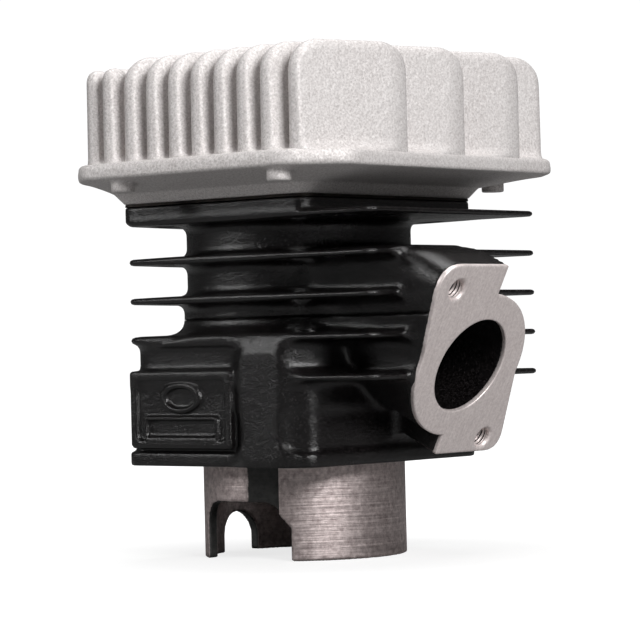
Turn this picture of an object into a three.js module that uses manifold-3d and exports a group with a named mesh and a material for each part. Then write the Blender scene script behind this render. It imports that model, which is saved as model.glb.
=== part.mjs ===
// A finned two-stroke barrel with its head fitted and its piston inside, in millimetres.
// It is drawn about the bore axis: +X to the exhaust, -Y to the name pad, +Z to the head.
import * as THREE from "three";
import { mergeVertices } from "three/addons/utils/BufferGeometryUtils.js";
import Module from "manifold-3d";

const wasm = await Module();
wasm.setup();

// Driving dimensions
const boreRadius = 23.8;
const stroke = 39;
const skirtWall = 2.7;
const skirtLength = 24.4;
const baseLengthX = 64;
const baseLengthY = 69;
const deckHeight = 91.8;
const gasketThickness = 0.6;
const coreWall = 5.7;
const studX = 23;
const studY = 26.5;
const studHoleRadius = 4;

const barrelFinCount = 5;
const barrelFinPitch = 10.2;
const barrelFinThickness = 2;
const topFinHeight = 86.5;
const barrelFinBackX = 31;
const barrelFinFrontX = 53;
const cornerRadius = 4;
const shoulderCornerRadius = 9.5;

const padLowX = -28;
const padHighX = 7;
const padStandoff = 1.5;
const padLowZ = 29;
const padHighZ = 49;
const padFrame = 3;
const padPanelDepth = 1.2;
const bulgeLowX = 9;
const bulgeHighX = 25;
const bulgeStandoff = 1.8;

const exhaustTilt = THREE.MathUtils.degToRad(27);
const exhaustFaceX = 56;
const exhaustFaceZ = 48.6;
const exhaustPortRadius = 12.75;
const exhaustStudU = 16.8;
const exhaustStudV = 21;
const tappedHoleRadius = 2.6;
const tappedHoleDepth = 14;
const exhaustBossRadius = 19;
const portHeight = 14.5;
const portHalfWidth = 12;

const archHalfAngle = 30.7;
const archHeight = 15;
const archCornerRadius = 6;
const notchHalfWidth = 6.5;
const notchHeight = 10.6;
const transferLowX = 3.2;
const transferHighX = 11.6;
const transferDepth = 5.9;

const rimBackX = 40;
const rimFrontX = 53;
const rimHalfY = 53;
const rimChamfer = 12;
const rimThickness = 4;
const rimDrop = 2.8;
const rimRise = 5.8;
const headFinHeight = 26.7;
const headFinPitch = 7.3;
const headFinCount = 14;
const headFinAngle = THREE.MathUtils.degToRad(18.5);
const headFinShift = 1;
const headFinInsetX = 1.2;
const headFinInset = 2.2;
const finEdgeInset = 0.4;
const headFinRootHalf = 2.5;
const headFinTipHalf = 2.1;
const finEndCorner = 8.5;
const finInnerCorner = 3;
const shortestFin = 5;
const postLength = 7.5;
const postCorner = 3.6;
const postDrop = 2.3;
const nutRecessRadius = 9;
const plugWellRadius = 14;
const plugHoleRadius = 6.4;
const plugReach = 12.7;
const chamberRadius = 15.5;
const chamberDepth = 8.5;
const rimBossRadius = 3;
const rimBossDrop = 3.5;
const nearRimBossX = [36, -17];
const farRimBossX = [28, -17];
const rimBossInset = 5;

const runningClearance = 0.3;
const pistonHeight = 46;
const pistonCrownGap = 0.5;
const pistonCrown = 5;
const pistonWall = 2.8;
const compressionHeight = 27;
const pinRadius = 6;
const pinBoreRadius = 3.8;
const pinHalfLength = 19.4;
const pinClearance = 0.15;
const ringHeight = 1.5;
const ringDepth = 2.1;
const ringClearance = 0.15;
const ringDrops = [4, 8];
const ringGapHalfWidth = 1.4;
const ringPegRadius = 0.8;
const ringPegLength = 3;
const ringPegAngles = [150, 210];
const circlipWireRadius = 0.6;

// Sizes that follow from them
const skirtRadius = boreRadius + skirtWall;
const coreRadius = boreRadius + coreWall;
const footHeight = deckHeight + gasketThickness;
const rimUnderside = footHeight + rimRise;
const rimTop = rimUnderside + rimThickness;
const finTop = rimTop + headFinHeight;
const chamberRoof = footHeight + chamberDepth;
const plugSeat = chamberRoof + plugReach;
const crownHeight = deckHeight - pistonCrownGap;
const pistonBottom = crownHeight - pistonHeight;
const pinHeight = crownHeight - compressionHeight;
const pistonRadius = boreRadius - runningClearance;
const portFloor = crownHeight - stroke;
const lowFinHeight = topFinHeight - (barrelFinCount - 1) * barrelFinPitch;
const shoulderFinHeight = lowFinHeight + barrelFinPitch;
const ductFinTop = topFinHeight - barrelFinPitch + barrelFinThickness;
const padPlaneY = -baseLengthY / 2 - padStandoff;
const exhaustReachV = exhaustStudV + 6.6;
const frontReach = Math.max(rimFrontX, exhaustFaceX + exhaustReachV * Math.sin(exhaustTilt));
const boreAxisX = (rimBackX - frontReach) / 2;
const studPlaces = [[1, -1], [1, 1], [-1, 1], [-1, -1]].map(([x, y]) => [x * studX, y * studY]);
const roundSteps = 48;

// Solids and booleans

function solid(geometry) {
  const bare = geometry.index ? geometry.toNonIndexed() : geometry.clone();
  bare.deleteAttribute("normal");
  bare.deleteAttribute("uv");
  const merged = mergeVertices(bare, 1e-4);
  return new wasm.Manifold(new wasm.Mesh({
    numProp: 3,
    vertProperties: new Float32Array(merged.attributes.position.array),
    triVerts: new Uint32Array(merged.index.array),
  }));
}

function join(solids) {
  return solids.reduce((whole, piece) => whole.add(piece));
}

function cutAway(body, tools) {
  return tools.reduce((whole, tool) => whole.subtract(tool), body);
}

function meshOf(name, body, look) {
  const result = body.getMesh();
  const geometry = new THREE.BufferGeometry();
  geometry.setAttribute("position", new THREE.BufferAttribute(new Float32Array(result.vertProperties), 3));
  geometry.setIndex(new THREE.BufferAttribute(new Uint32Array(result.triVerts), 1));
  geometry.computeVertexNormals();
  const mesh = new THREE.Mesh(geometry, look);
  mesh.name = name;
  return mesh;
}

// Basic shapes, all standing on +Z

function column(x, y, radius, low, high, steps = roundSteps) {
  const geometry = new THREE.CylinderGeometry(radius, radius, high - low, steps);
  geometry.rotateX(Math.PI / 2);
  geometry.translate(x, y, (low + high) / 2);
  return solid(geometry);
}

function block(lowX, highX, lowY, highY, lowZ, highZ) {
  const geometry = new THREE.BoxGeometry(highX - lowX, highY - lowY, highZ - lowZ);
  geometry.translate((lowX + highX) / 2, (lowY + highY) / 2, (lowZ + highZ) / 2);
  return solid(geometry);
}

function prism(shape, low, high, curveSegments = 6) {
  const geometry = new THREE.ExtrudeGeometry(shape, {
    depth: high - low,
    bevelEnabled: false,
    curveSegments,
  });
  geometry.translate(0, 0, low);
  return geometry;
}

function turned(profile, steps = roundSteps) {
  const geometry = new THREE.LatheGeometry(profile.map(([r, z]) => new THREE.Vector2(r, z)), steps);
  geometry.rotateX(Math.PI / 2);
  return solid(geometry);
}

function roundedRectangle(lowX, highX, lowY, highY, radius) {
  const shape = new THREE.Shape();
  shape.moveTo(lowX + radius, lowY);
  shape.lineTo(highX - radius, lowY);
  shape.absarc(highX - radius, lowY + radius, radius, -Math.PI / 2, 0);
  shape.lineTo(highX, highY - radius);
  shape.absarc(highX - radius, highY - radius, radius, 0, Math.PI / 2);
  shape.lineTo(lowX + radius, highY);
  shape.absarc(lowX + radius, highY - radius, radius, Math.PI / 2, Math.PI);
  shape.lineTo(lowX, lowY + radius);
  shape.absarc(lowX + radius, lowY + radius, radius, Math.PI, 1.5 * Math.PI);
  return shape;
}

// A solid skinned over rings of equal length; every ring is convex and flat.
function loft(rings) {
  const count = rings[0].length;
  const positions = rings.flat().flatMap((point) => [point.x, point.y, point.z]);
  const faces = [];
  for (let level = 0; level + 1 < rings.length; level += 1) {
    for (let i = 0; i < count; i += 1) {
      const a = level * count + i;
      const b = level * count + ((i + 1) % count);
      faces.push(a, b, b + count, a, b + count, a + count);
    }
  }
  const last = (rings.length - 1) * count;
  for (let i = 1; i + 1 < count; i += 1) {
    faces.push(0, i + 1, i, last, last + i, last + i + 1);
  }
  const geometry = new THREE.BufferGeometry();
  geometry.setAttribute("position", new THREE.Float32BufferAttribute(positions, 3));
  geometry.setIndex(faces);
  return solid(geometry);
}

function studHoles(low, high) {
  return studPlaces.map(([x, y]) => column(x, y, studHoleRadius, low, high, 20));
}

// Cylinder head

function chamferedRing(backX, frontX, halfY, chamfer, z) {
  return [
    [frontX - chamfer, -halfY], [frontX, chamfer - halfY],
    [frontX, halfY - chamfer], [frontX - chamfer, halfY],
    [chamfer - backX, halfY], [-backX, halfY - chamfer],
    [-backX, chamfer - halfY], [chamfer - backX, -halfY],
  ].map(([x, y]) => new THREE.Vector3(x, y, z));
}

function headPlate() {
  const footX = baseLengthX / 2;
  const footY = baseLengthY / 2;
  const footChamfer = cornerRadius;
  return loft([
    chamferedRing(footX, footX, footY, footChamfer, footHeight),
    chamferedRing(footX + rimDrop, footX + rimDrop, footY + rimDrop, footChamfer, footHeight + rimDrop),
    chamferedRing(rimBackX, rimFrontX, rimHalfY, rimChamfer, rimUnderside),
    chamferedRing(rimBackX, rimFrontX, rimHalfY, rimChamfer, rimTop),
  ]);
}

// Where the line along the fins at an offset enters and leaves the rim's inset outline.
function finSpan(offset) {
  const along = [Math.sin(headFinAngle), Math.cos(headFinAngle)];
  const across = [Math.cos(headFinAngle), -Math.sin(headFinAngle)];
  const start = [across[0] * offset, across[1] * offset];
  const cornerReach = Math.SQRT2 * headFinInset;
  const walls = [
    [1, 0, rimFrontX - headFinInsetX], [-1, 0, rimBackX - headFinInsetX],
    [0, 1, rimHalfY - headFinInset], [0, -1, rimHalfY - headFinInset],
    [1, 1, rimFrontX + rimHalfY - rimChamfer - cornerReach],
    [1, -1, rimFrontX + rimHalfY - rimChamfer - cornerReach],
    [-1, 1, rimBackX + rimHalfY - rimChamfer - cornerReach],
    [-1, -1, rimBackX + rimHalfY - rimChamfer - cornerReach],
  ];
  let low = -Infinity;
  let high = Infinity;
  for (const [x, y, reach] of walls) {
    const speed = x * along[0] + y * along[1];
    const limit = (reach - x * start[0] - y * start[1]) / speed;
    if (speed > 0) high = Math.min(high, limit);
    if (speed < 0) low = Math.max(low, limit);
  }
  return [low, high];
}

// Gaps along one fin, left by the round plug well and the four nut recesses.
function finGaps(offset, [low, high]) {
  const wells = [[0, 0, plugWellRadius, false]];
  for (const [x, y] of studPlaces) wells.push([x, y, nutRecessRadius, x * y > 0]);
  const gaps = [];
  for (const [x, y, radius, openOutwards] of wells) {
    const across = x * Math.cos(headFinAngle) - y * Math.sin(headFinAngle);
    const middle = x * Math.sin(headFinAngle) + y * Math.cos(headFinAngle);
    const clear = Math.max(0, Math.abs(offset - across) - headFinRootHalf);
    if (clear >= radius) continue;
    const half = Math.sqrt(radius * radius - clear * clear);
    const gap = [middle - half, middle + half];
    if (openOutwards && middle < 0) gap[0] = Math.min(gap[0], low + postLength);
    if (openOutwards && middle > 0) gap[1] = Math.max(gap[1], high - postLength);
    gaps.push(gap);
  }
  return gaps.sort((a, b) => a[0] - b[0]);
}

function finPieces(offset) {
  const span = finSpan(offset);
  const pieces = [];
  let start = span[0];
  for (const [gapLow, gapHigh] of finGaps(offset, span)) {
    pieces.push([start, gapLow]);
    start = Math.max(start, gapHigh);
  }
  pieces.push([start, span[1]]);
  return pieces
    .filter(([low, high]) => high - low >= shortestFin)
    .map(([low, high]) => {
      if (high - low < finEndCorner) {
        return { low, high, top: finTop - postDrop, lowCorner: postCorner, highCorner: postCorner };
      }
      return {
        low,
        high,
        top: finTop,
        lowCorner: low === span[0] ? finEndCorner : finInnerCorner,
        highCorner: high === span[1] ? finEndCorner : finInnerCorner,
      };
    });
}

function cornerInset(radius, top, z) {
  const rise = Math.max(0, z - top + radius);
  return radius - Math.sqrt(Math.max(0, radius * radius - rise * rise));
}

// One fin piece: level outlines with round ends, thinner and shorter towards the top.
function finPiece(offset, piece) {
  const along = new THREE.Vector3(Math.sin(headFinAngle), Math.cos(headFinAngle), 0);
  const across = new THREE.Vector3(Math.cos(headFinAngle), -Math.sin(headFinAngle), 0);
  const arcSteps = 4;
  const corner = Math.max(piece.lowCorner, piece.highCorner);
  const levels = [rimTop - 1, piece.top - corner];
  for (const share of [0.35, 0.62, 0.82, 0.95, 1]) levels.push(piece.top - corner * (1 - share));
  const rings = [];
  for (const z of levels) {
    const half = THREE.MathUtils.mapLinear(z, rimTop - 1, finTop, headFinRootHalf, headFinTipHalf);
    const low = piece.low + cornerInset(piece.lowCorner, piece.top, z) + half;
    const high = piece.high - cornerInset(piece.highCorner, piece.top, z) - half;
    if (high - low < 0.2) break;
    const ring = [];
    for (const [middle, turn] of [[high, 0], [low, Math.PI]]) {
      for (let step = 0; step <= arcSteps; step += 1) {
        const angle = turn + Math.PI * (step / arcSteps - 0.5);
        ring.push(new THREE.Vector3(0, 0, z)
          .addScaledVector(along, middle + half * Math.cos(angle))
          .addScaledVector(across, offset - half * Math.sin(angle)));
      }
    }
    rings.push(ring);
  }
  return loft(rings);
}

// The fins stay inside the rim by this edge.
function rimPrism() {
  const reach = [rimBackX - finEdgeInset, rimFrontX - finEdgeInset, rimHalfY - finEdgeInset, rimChamfer];
  return loft([chamferedRing(...reach, rimTop - 2), chamferedRing(...reach, finTop + 1)]);
}

function makeHead(look) {
  const fins = [];
  const finCentre = (rimFrontX - rimBackX) / 2 * Math.cos(headFinAngle) + headFinShift;
  for (let i = 0; i < headFinCount; i += 1) {
    const offset = finCentre + (i - (headFinCount - 1) / 2) * headFinPitch;
    for (const piece of finPieces(offset)) fins.push(finPiece(offset, piece));
  }
  const pieces = [headPlate(), join(fins).intersect(rimPrism())];
  pieces.push(column(0, 0, plugWellRadius - 1, footHeight + 1, plugSeat));
  for (const [side, places] of [[-1, nearRimBossX], [1, farRimBossX]]) {
    const y = side * (rimHalfY - rimBossInset);
    for (const x of places) {
      pieces.push(column(x, y, rimBossRadius, rimUnderside - rimBossDrop, rimUnderside + 1, 16));
    }
  }
  const chamber = turned([
    [0, footHeight - 1], [chamberRadius + 0.6, footHeight - 1], [chamberRadius, footHeight + 1],
    [chamberRadius * 0.88, footHeight + chamberDepth * 0.55],
    [chamberRadius * 0.62, footHeight + chamberDepth * 0.88], [0, chamberRoof],
  ]);
  const cuts = [chamber, column(0, 0, plugHoleRadius, chamberRoof - 4, plugSeat + 1, 32)];
  const holes = studHoles(footHeight - 1, rimTop + 1);
  return meshOf("cylinder_head", cutAway(join(pieces), [...cuts, ...holes]), look);
}

// Head gasket

function makeGasket(look) {
  const plate = prism(baseOutline(cornerRadius), deckHeight, footHeight);
  const cuts = [column(0, 0, boreRadius + 0.7, deckHeight - 1, footHeight + 1)];
  const holes = studHoles(deckHeight - 1, footHeight + 1);
  return meshOf("head_gasket", cutAway(solid(plate), [...cuts, ...holes]), look);
}

// Barrel

function baseOutline(radius) {
  return roundedRectangle(-baseLengthX / 2, baseLengthX / 2, -baseLengthY / 2, baseLengthY / 2, radius);
}

function barrelFin(index) {
  const low = topFinHeight - index * barrelFinPitch;
  const outline = roundedRectangle(
    -barrelFinBackX, barrelFinFrontX, -baseLengthY / 2, baseLengthY / 2, cornerRadius);
  return solid(prism(outline, low, low + barrelFinThickness));
}

// Turns flange-plane coordinates (u to +Y, v up the face, depth inwards) into the barrel's.
function onExhaustFace(geometry) {
  const toU = new THREE.Vector3(0, 1, 0);
  const toV = new THREE.Vector3(Math.sin(exhaustTilt), 0, Math.cos(exhaustTilt));
  const outwards = new THREE.Vector3().crossVectors(toU, toV);
  const frame = new THREE.Matrix4().makeBasis(toU, toV, outwards);
  frame.setPosition(exhaustFaceX, 0, exhaustFaceZ);
  return solid(geometry.applyMatrix4(frame));
}

// Half of the flange outline, from the top step round to the bottom step; the rest is its half turn.
function flangeOutline() {
  const half = [];
  const lugTop = exhaustReachV;
  const lugSide = exhaustStudU + 8.2;
  half.push([0.4, lugTop], [0.4, exhaustBossRadius + 0.5]);
  for (let step = 1; step <= 8; step += 1) {
    const angle = THREE.MathUtils.degToRad(THREE.MathUtils.mapLinear(step, 0, 8, 87, 3));
    half.push([exhaustBossRadius * 1.05 * Math.cos(angle), exhaustBossRadius * Math.sin(angle)]);
  }
  const lowerCorner = 4.5;
  half.push([lugSide - 0.8, -exhaustStudV + 0.8]);
  for (let step = 1; step <= 4; step += 1) {
    const angle = THREE.MathUtils.degToRad(-22.5 * step);
    half.push([
      lugSide - 0.8 - lowerCorner + lowerCorner * Math.cos(angle),
      -lugTop + 2.4 + lowerCorner + lowerCorner * Math.sin(angle),
    ]);
  }
  const upperCorner = 7;
  const points = [...half, [-0.7, 2.4 - lugTop], [-1.4, -exhaustBossRadius - 0.2]];
  for (let step = 1; step <= 8; step += 1) {
    const angle = THREE.MathUtils.degToRad(THREE.MathUtils.mapLinear(step, 0, 8, 267, 183));
    points.push([exhaustBossRadius * 1.05 * Math.cos(angle), exhaustBossRadius * Math.sin(angle)]);
  }
  points.push([-lugSide, exhaustStudV]);
  for (let step = 1; step <= 4; step += 1) {
    const angle = THREE.MathUtils.degToRad(180 - 22.5 * step);
    points.push([
      upperCorner - lugSide + upperCorner * Math.cos(angle),
      lugTop - upperCorner + upperCorner * Math.sin(angle),
    ]);
  }
  return new THREE.Shape(points.map(([u, v]) => new THREE.Vector2(u, v)));
}

function exhaustBlock() {
  const depth = (exhaustFaceX - boreRadius) / Math.cos(exhaustTilt);
  const stub = onExhaustFace(prism(flangeOutline(), -depth, 0));
  const half = baseLengthY / 2;
  return stub.intersect(block(0, frontReach + 1, -half, half, skirtLength, ductFinTop));
}

// The duct runs from the round port in the face to the window in the bore.
function exhaustDuct() {
  const steps = 24;
  const faceRing = [];
  const windowRing = [];
  const windowZ = portFloor + portHeight / 2;
  for (let i = 0; i < steps; i += 1) {
    const angle = (2 * Math.PI * i) / steps;
    const u = Math.cos(angle);
    const v = Math.sin(angle);
    const rise = exhaustPortRadius * v;
    faceRing.push(new THREE.Vector3(
      exhaustFaceX + rise * Math.sin(exhaustTilt) + Math.cos(exhaustTilt),
      exhaustPortRadius * u,
      exhaustFaceZ + rise * Math.cos(exhaustTilt) - Math.sin(exhaustTilt),
    ));
    const square = Math.pow(Math.abs(u) ** 4 + Math.abs(v) ** 4, -0.25);
    windowRing.push(new THREE.Vector3(
      boreRadius * 0.7,
      portHalfWidth * square * u,
      windowZ + (portHeight / 2) * square * v,
    ));
  }
  return loft([windowRing, faceRing]);
}

function tappedHoles() {
  return [1, -1].map((side) => {
    const drill = new THREE.CylinderGeometry(tappedHoleRadius, tappedHoleRadius, tappedHoleDepth, 20);
    drill.rotateX(Math.PI / 2);
    drill.translate(-side * exhaustStudU, side * exhaustStudV, 1 - tappedHoleDepth / 2);
    return onExhaustFace(drill);
  });
}

// Skirt cutaway on one side, with an arched top.
function skirtArch(side) {
  const half = skirtRadius * Math.sin(THREE.MathUtils.degToRad(archHalfAngle));
  const cornerHeight = archHeight - archCornerRadius;
  const shape = new THREE.Shape();
  shape.moveTo(-half, -1);
  shape.lineTo(half, -1);
  shape.lineTo(half, cornerHeight);
  shape.absarc(half - archCornerRadius, cornerHeight, archCornerRadius, 0, Math.PI / 2);
  shape.absarc(archCornerRadius - half, cornerHeight, archCornerRadius, Math.PI / 2, Math.PI);
  const geometry = prism(shape, 0, skirtRadius + 1);
  geometry.rotateX(Math.PI / 2);
  if (side > 0) geometry.rotateZ(Math.PI);
  return solid(geometry);
}

// Round-topped notch at the back of the skirt.
function skirtNotch() {
  const shape = new THREE.Shape();
  shape.moveTo(-notchHalfWidth, -1);
  shape.lineTo(notchHalfWidth, -1);
  shape.absarc(0, notchHeight - notchHalfWidth, notchHalfWidth, 0, Math.PI);
  const geometry = prism(shape, 0, skirtRadius + 1, 8);
  geometry.rotateX(Math.PI / 2);
  geometry.rotateZ(-Math.PI / 2);
  return solid(geometry);
}

// Transfer passage from the base face up and inwards to its window in the bore.
function transferPassage(side) {
  const inner = skirtRadius - 0.9;
  const outer = inner + transferDepth;
  const profile = [
    [outer, skirtLength - 1], [outer, shoulderFinHeight - 6], [outer - 4, shoulderFinHeight + 1.4],
    [boreRadius * 0.84, portFloor + 8], [boreRadius * 0.84, portFloor],
    [inner, portFloor - 2.4], [inner, skirtLength - 1],
  ];
  const shape = new THREE.Shape(profile.map(([y, z]) => new THREE.Vector2(y, z)));
  const geometry = prism(shape, 0, transferHighX - transferLowX);
  geometry.rotateX(Math.PI / 2);
  geometry.rotateZ(side * Math.PI / 2);
  geometry.translate(side > 0 ? transferLowX : transferHighX, 0, 0);
  return solid(geometry);
}

// Rough recess that leads into the passage, left low by the turning of the skirt.
function transferRecess(side) {
  const shape = new THREE.Shape([
    [transferLowX, skirtRadius], [transferHighX - 1, boreRadius - 1.1],
    [transferHighX, boreRadius - 1.1],
    [transferHighX, skirtRadius + 1], [transferLowX, skirtRadius + 1],
  ].map(([x, y]) => new THREE.Vector2(x, y * side)));
  return solid(prism(shape, archHeight - 4, skirtLength));
}

// The round core spreads to the shoulder fin below it.
function coreFlare() {
  const low = shoulderFinHeight;
  const flare = turned([
    [0, low], [coreRadius + 6, low], [coreRadius + 3.4, low + barrelFinThickness + 1],
    [coreRadius + 1.2, low + barrelFinThickness + 3], [coreRadius - 1, low + barrelFinThickness + 6],
    [0, low + 9],
  ]);
  return flare.intersect(solid(prism(baseOutline(shoulderCornerRadius), low, low + 10)));
}

function barrelWalls() {
  const half = baseLengthY / 2;
  const walls = [
    column(0, 0, skirtRadius, 0, skirtLength + 1),
    column(0, 0, coreRadius, skirtLength, deckHeight),
    solid(prism(baseOutline(cornerRadius), skirtLength, lowFinHeight + barrelFinThickness)),
    solid(prism(baseOutline(shoulderCornerRadius), lowFinHeight, shoulderFinHeight)),
    solid(prism(baseOutline(cornerRadius), topFinHeight, deckHeight)),
    coreFlare(),
    exhaustBlock(),
    block(padLowX, padHighX, padPlaneY, -half + 1, padLowZ, padHighZ),
  ];
  for (const side of [-1, 1]) {
    const reach = half + bulgeStandoff;
    const bulge = roundedRectangle(
      bulgeLowX, bulgeHighX, side > 0 ? reach - 9 : -reach, side > 0 ? reach : 9 - reach, 4);
    walls.push(solid(prism(bulge, skirtLength, shoulderFinHeight)));
  }
  for (let index = 0; index < barrelFinCount; index += 1) walls.push(barrelFin(index));
  return join(walls);
}

function makeBarrel(look) {
  const cuts = [
    column(0, 0, boreRadius, -1, deckHeight + 1, 64),
    block(padLowX + padFrame, padHighX - padFrame, padPlaneY - 1, padPlaneY + padPanelDepth,
      padLowZ + padFrame, padHighZ - padFrame),
    exhaustDuct(),
    skirtNotch(),
    ...tappedHoles(),
    ...studHoles(skirtLength - 1, deckHeight + 1),
  ];
  for (const side of [-1, 1]) cuts.push(skirtArch(side), transferPassage(side), transferRecess(side));
  return meshOf("barrel", cutAway(barrelWalls(), cuts), look);
}

// Piston, rings and pin

function crosswise(radius, half, steps) {
  return solid(new THREE.CylinderGeometry(radius, radius, 2 * half, steps));
}

function makePiston(look) {
  const inside = pistonRadius - pistonWall;
  const underCrown = crownHeight - pistonCrown;
  const bossWidth = pinRadius + 3.5;
  const shell = turned([
    [0, pistonBottom], [pistonRadius, pistonBottom], [pistonRadius, crownHeight - 1.2],
    [pistonRadius - 1, crownHeight - 0.9], [0, crownHeight],
  ], 64);
  const hollow = column(0, 0, inside, pistonBottom - 1, underCrown);
  const bosses = [-1, 1].map((side) => {
    const inner = side * (pinHalfLength - 9);
    const outer = side * (inside + 0.6);
    return block(-bossWidth, bossWidth, Math.min(inner, outer), Math.max(inner, outer),
      pinHeight - bossWidth, underCrown + 1);
  });
  const pinBore = crosswise(pinRadius + pinClearance, boreRadius + 1, 32);
  const grooves = ringDrops.map((drop) => {
    const low = crownHeight - drop - ringHeight - ringClearance;
    const high = crownHeight - drop + ringClearance;
    const ring = column(0, 0, boreRadius + 1, low, high, 64);
    return ring.subtract(column(0, 0, grooveRadius(), low - 1, high + 1, 64));
  });
  const clipGrooves = [-1, 1].map((side) => {
    const groove = new THREE.CylinderGeometry(
      pinRadius + circlipWireRadius + ringClearance,
      pinRadius + circlipWireRadius + ringClearance,
      2 * (circlipWireRadius + ringClearance), 32);
    groove.translate(0, side * circlipY(), pinHeight);
    return solid(groove);
  });
  const pegHoles = ringDrops.map((drop, index) => ringPegSolid(index, ringPegRadius + ringClearance, 3.4));
  const body = join([cutAway(shell, [hollow]), ...bosses.map((boss) => boss.intersect(shell))]);
  const cuts = [pinBore.translate(0, 0, pinHeight), ...grooves, ...clipGrooves, ...pegHoles];
  return meshOf("piston", cutAway(body, cuts), look);
}

function grooveRadius() {
  return pistonRadius - ringDepth - ringClearance;
}

function circlipY() {
  return pinHalfLength + circlipWireRadius + 2 * ringClearance;
}

function makeRing(name, index, look) {
  const outer = pistonRadius + ringClearance;
  const inner = pistonRadius - ringDepth;
  const high = crownHeight - ringDrops[index];
  const low = high - ringHeight;
  const hoop = column(0, 0, outer, low, high, 64).subtract(column(0, 0, inner, low - 1, high + 1, 64));
  const gap = new THREE.BoxGeometry(boreRadius, 2 * ringGapHalfWidth, ringHeight + 2);
  gap.translate(boreRadius, 0, (low + high) / 2);
  gap.rotateZ(THREE.MathUtils.degToRad(ringPegAngles[index]));
  return meshOf(name, hoop.subtract(solid(gap)), look);
}

function ringPegSolid(index, radius, length) {
  const peg = new THREE.CylinderGeometry(radius, radius, length, 12);
  peg.rotateZ(Math.PI / 2);
  peg.translate(pistonRadius - ringDepth, 0, crownHeight - ringDrops[index] - ringHeight / 2);
  peg.rotateZ(THREE.MathUtils.degToRad(ringPegAngles[index]));
  return solid(peg);
}

function makeGudgeonPin(look) {
  const hole = crosswise(pinBoreRadius, pinHalfLength + 1, 32);
  const tube = crosswise(pinRadius, pinHalfLength, 32).subtract(hole);
  return meshOf("gudgeon_pin", tube.translate(0, 0, pinHeight), look);
}

// Open wire hoop that sits in its groove outside the pin's end.
function makeCirclip(name, side, look) {
  const steps = 40;
  const opening = THREE.MathUtils.degToRad(60);
  const path = new THREE.CatmullRomCurve3(Array.from({ length: steps + 1 }, (unused, step) => {
    const angle = -Math.PI / 2 + opening / 2 + ((2 * Math.PI - opening) * step) / steps;
    return new THREE.Vector3(
      pinRadius * Math.cos(angle), side * circlipY(), pinHeight + pinRadius * Math.sin(angle));
  }));
  const section = new THREE.Shape();
  section.absarc(0, 0, circlipWireRadius, 0, 2 * Math.PI);
  const geometry = new THREE.ExtrudeGeometry(section, {
    steps, curveSegments: 8, extrudePath: path, bevelEnabled: false,
  });
  return meshOf(name, solid(geometry), look);
}

// Finishes

function finish(colour, roughness, metalness) {
  return new THREE.MeshStandardMaterial({ color: colour, roughness, metalness });
}

const blastedAluminium = finish(0xdad4d2, 0.7, 0.5);
const blackPaint = finish(0x141416, 0.35, 0.1);
const gasketSheet = finish(0x9a6a4a, 0.6, 0.6);
const pistonAluminium = finish(0xc4c4c6, 0.35, 0.9);
const ringIron = finish(0x6a6a6e, 0.4, 0.9);
const pinSteel = finish(0xb8bcc0, 0.2, 1);
const springSteel = finish(0x4a4c50, 0.35, 0.9);

const engineTop = new THREE.Group();
engineTop.add(
  makeHead(blastedAluminium),
  makeGasket(gasketSheet),
  makeBarrel(blackPaint),
  makePiston(pistonAluminium),
  makeRing("top_ring", 0, ringIron),
  makeRing("second_ring", 1, ringIron),
  meshOf("top_ring_peg", ringPegSolid(0, ringPegRadius, ringPegLength), pinSteel),
  meshOf("second_ring_peg", ringPegSolid(1, ringPegRadius, ringPegLength), pinSteel),
  makeGudgeonPin(pinSteel),
  makeCirclip("left_circlip", -1, springSteel),
  makeCirclip("right_circlip", 1, springSteel),
);
engineTop.position.x = boreAxisX;

export default engineTop;
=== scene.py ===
import math
import bpy
import numpy as np
from mathutils import Matrix, Vector


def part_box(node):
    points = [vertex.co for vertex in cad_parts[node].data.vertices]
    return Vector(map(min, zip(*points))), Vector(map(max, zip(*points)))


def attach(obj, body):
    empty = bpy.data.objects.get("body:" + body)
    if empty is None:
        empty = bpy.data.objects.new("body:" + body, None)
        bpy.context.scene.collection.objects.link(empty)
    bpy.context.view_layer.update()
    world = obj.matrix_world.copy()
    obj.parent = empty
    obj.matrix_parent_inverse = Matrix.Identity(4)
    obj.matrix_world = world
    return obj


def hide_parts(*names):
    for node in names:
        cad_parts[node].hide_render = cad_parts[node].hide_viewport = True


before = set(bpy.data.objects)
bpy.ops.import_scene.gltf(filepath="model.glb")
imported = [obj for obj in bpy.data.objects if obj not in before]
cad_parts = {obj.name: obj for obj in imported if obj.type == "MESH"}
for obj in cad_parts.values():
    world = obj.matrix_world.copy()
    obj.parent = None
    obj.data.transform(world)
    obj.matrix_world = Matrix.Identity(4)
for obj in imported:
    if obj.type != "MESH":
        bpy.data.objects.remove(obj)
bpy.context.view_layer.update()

# Everything below is worked out in millimetres about the bore axis, then moved to the frame.
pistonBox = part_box("piston")
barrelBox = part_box("barrel")
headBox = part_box("cylinder_head")
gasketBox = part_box("head_gasket")
boreX = 500 * (pistonBox[0][0] + pistonBox[1][0])
deckTop = 1000 * barrelBox[1][2]
footZ = 1000 * gasketBox[1][2]
headTop = 1000 * headBox[1][2]
halfBaseX = 500 * (gasketBox[1][0] - gasketBox[0][0])
halfBaseY = 500 * (gasketBox[1][1] - gasketBox[0][1])


# Distance fields: a shape is a function that is negative inside. Blends are radii in millimetres.

def smoothMin(a, b, blend):
    # the smaller of two fields, with a rounded hollow where they meet
    mix = np.clip(0.5 + 0.5 * (b - a) / blend, 0, 1)
    return b * (1 - mix) + a * mix - blend * mix * (1 - mix)


def smoothMax(a, b, blend):
    # the larger of two fields, with a rounded edge where they meet
    return -smoothMin(-a, -b, blend)


def roundBox(x, y, middle, half, radius):
    # distance to a flat rectangle with rounded corners
    px = np.abs(x - middle[0]) - half[0] + radius
    py = np.abs(y - middle[1]) - half[1] + radius
    outside = np.hypot(np.maximum(px, 0), np.maximum(py, 0))
    return outside + np.minimum(np.maximum(px, py), 0) - radius


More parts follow.
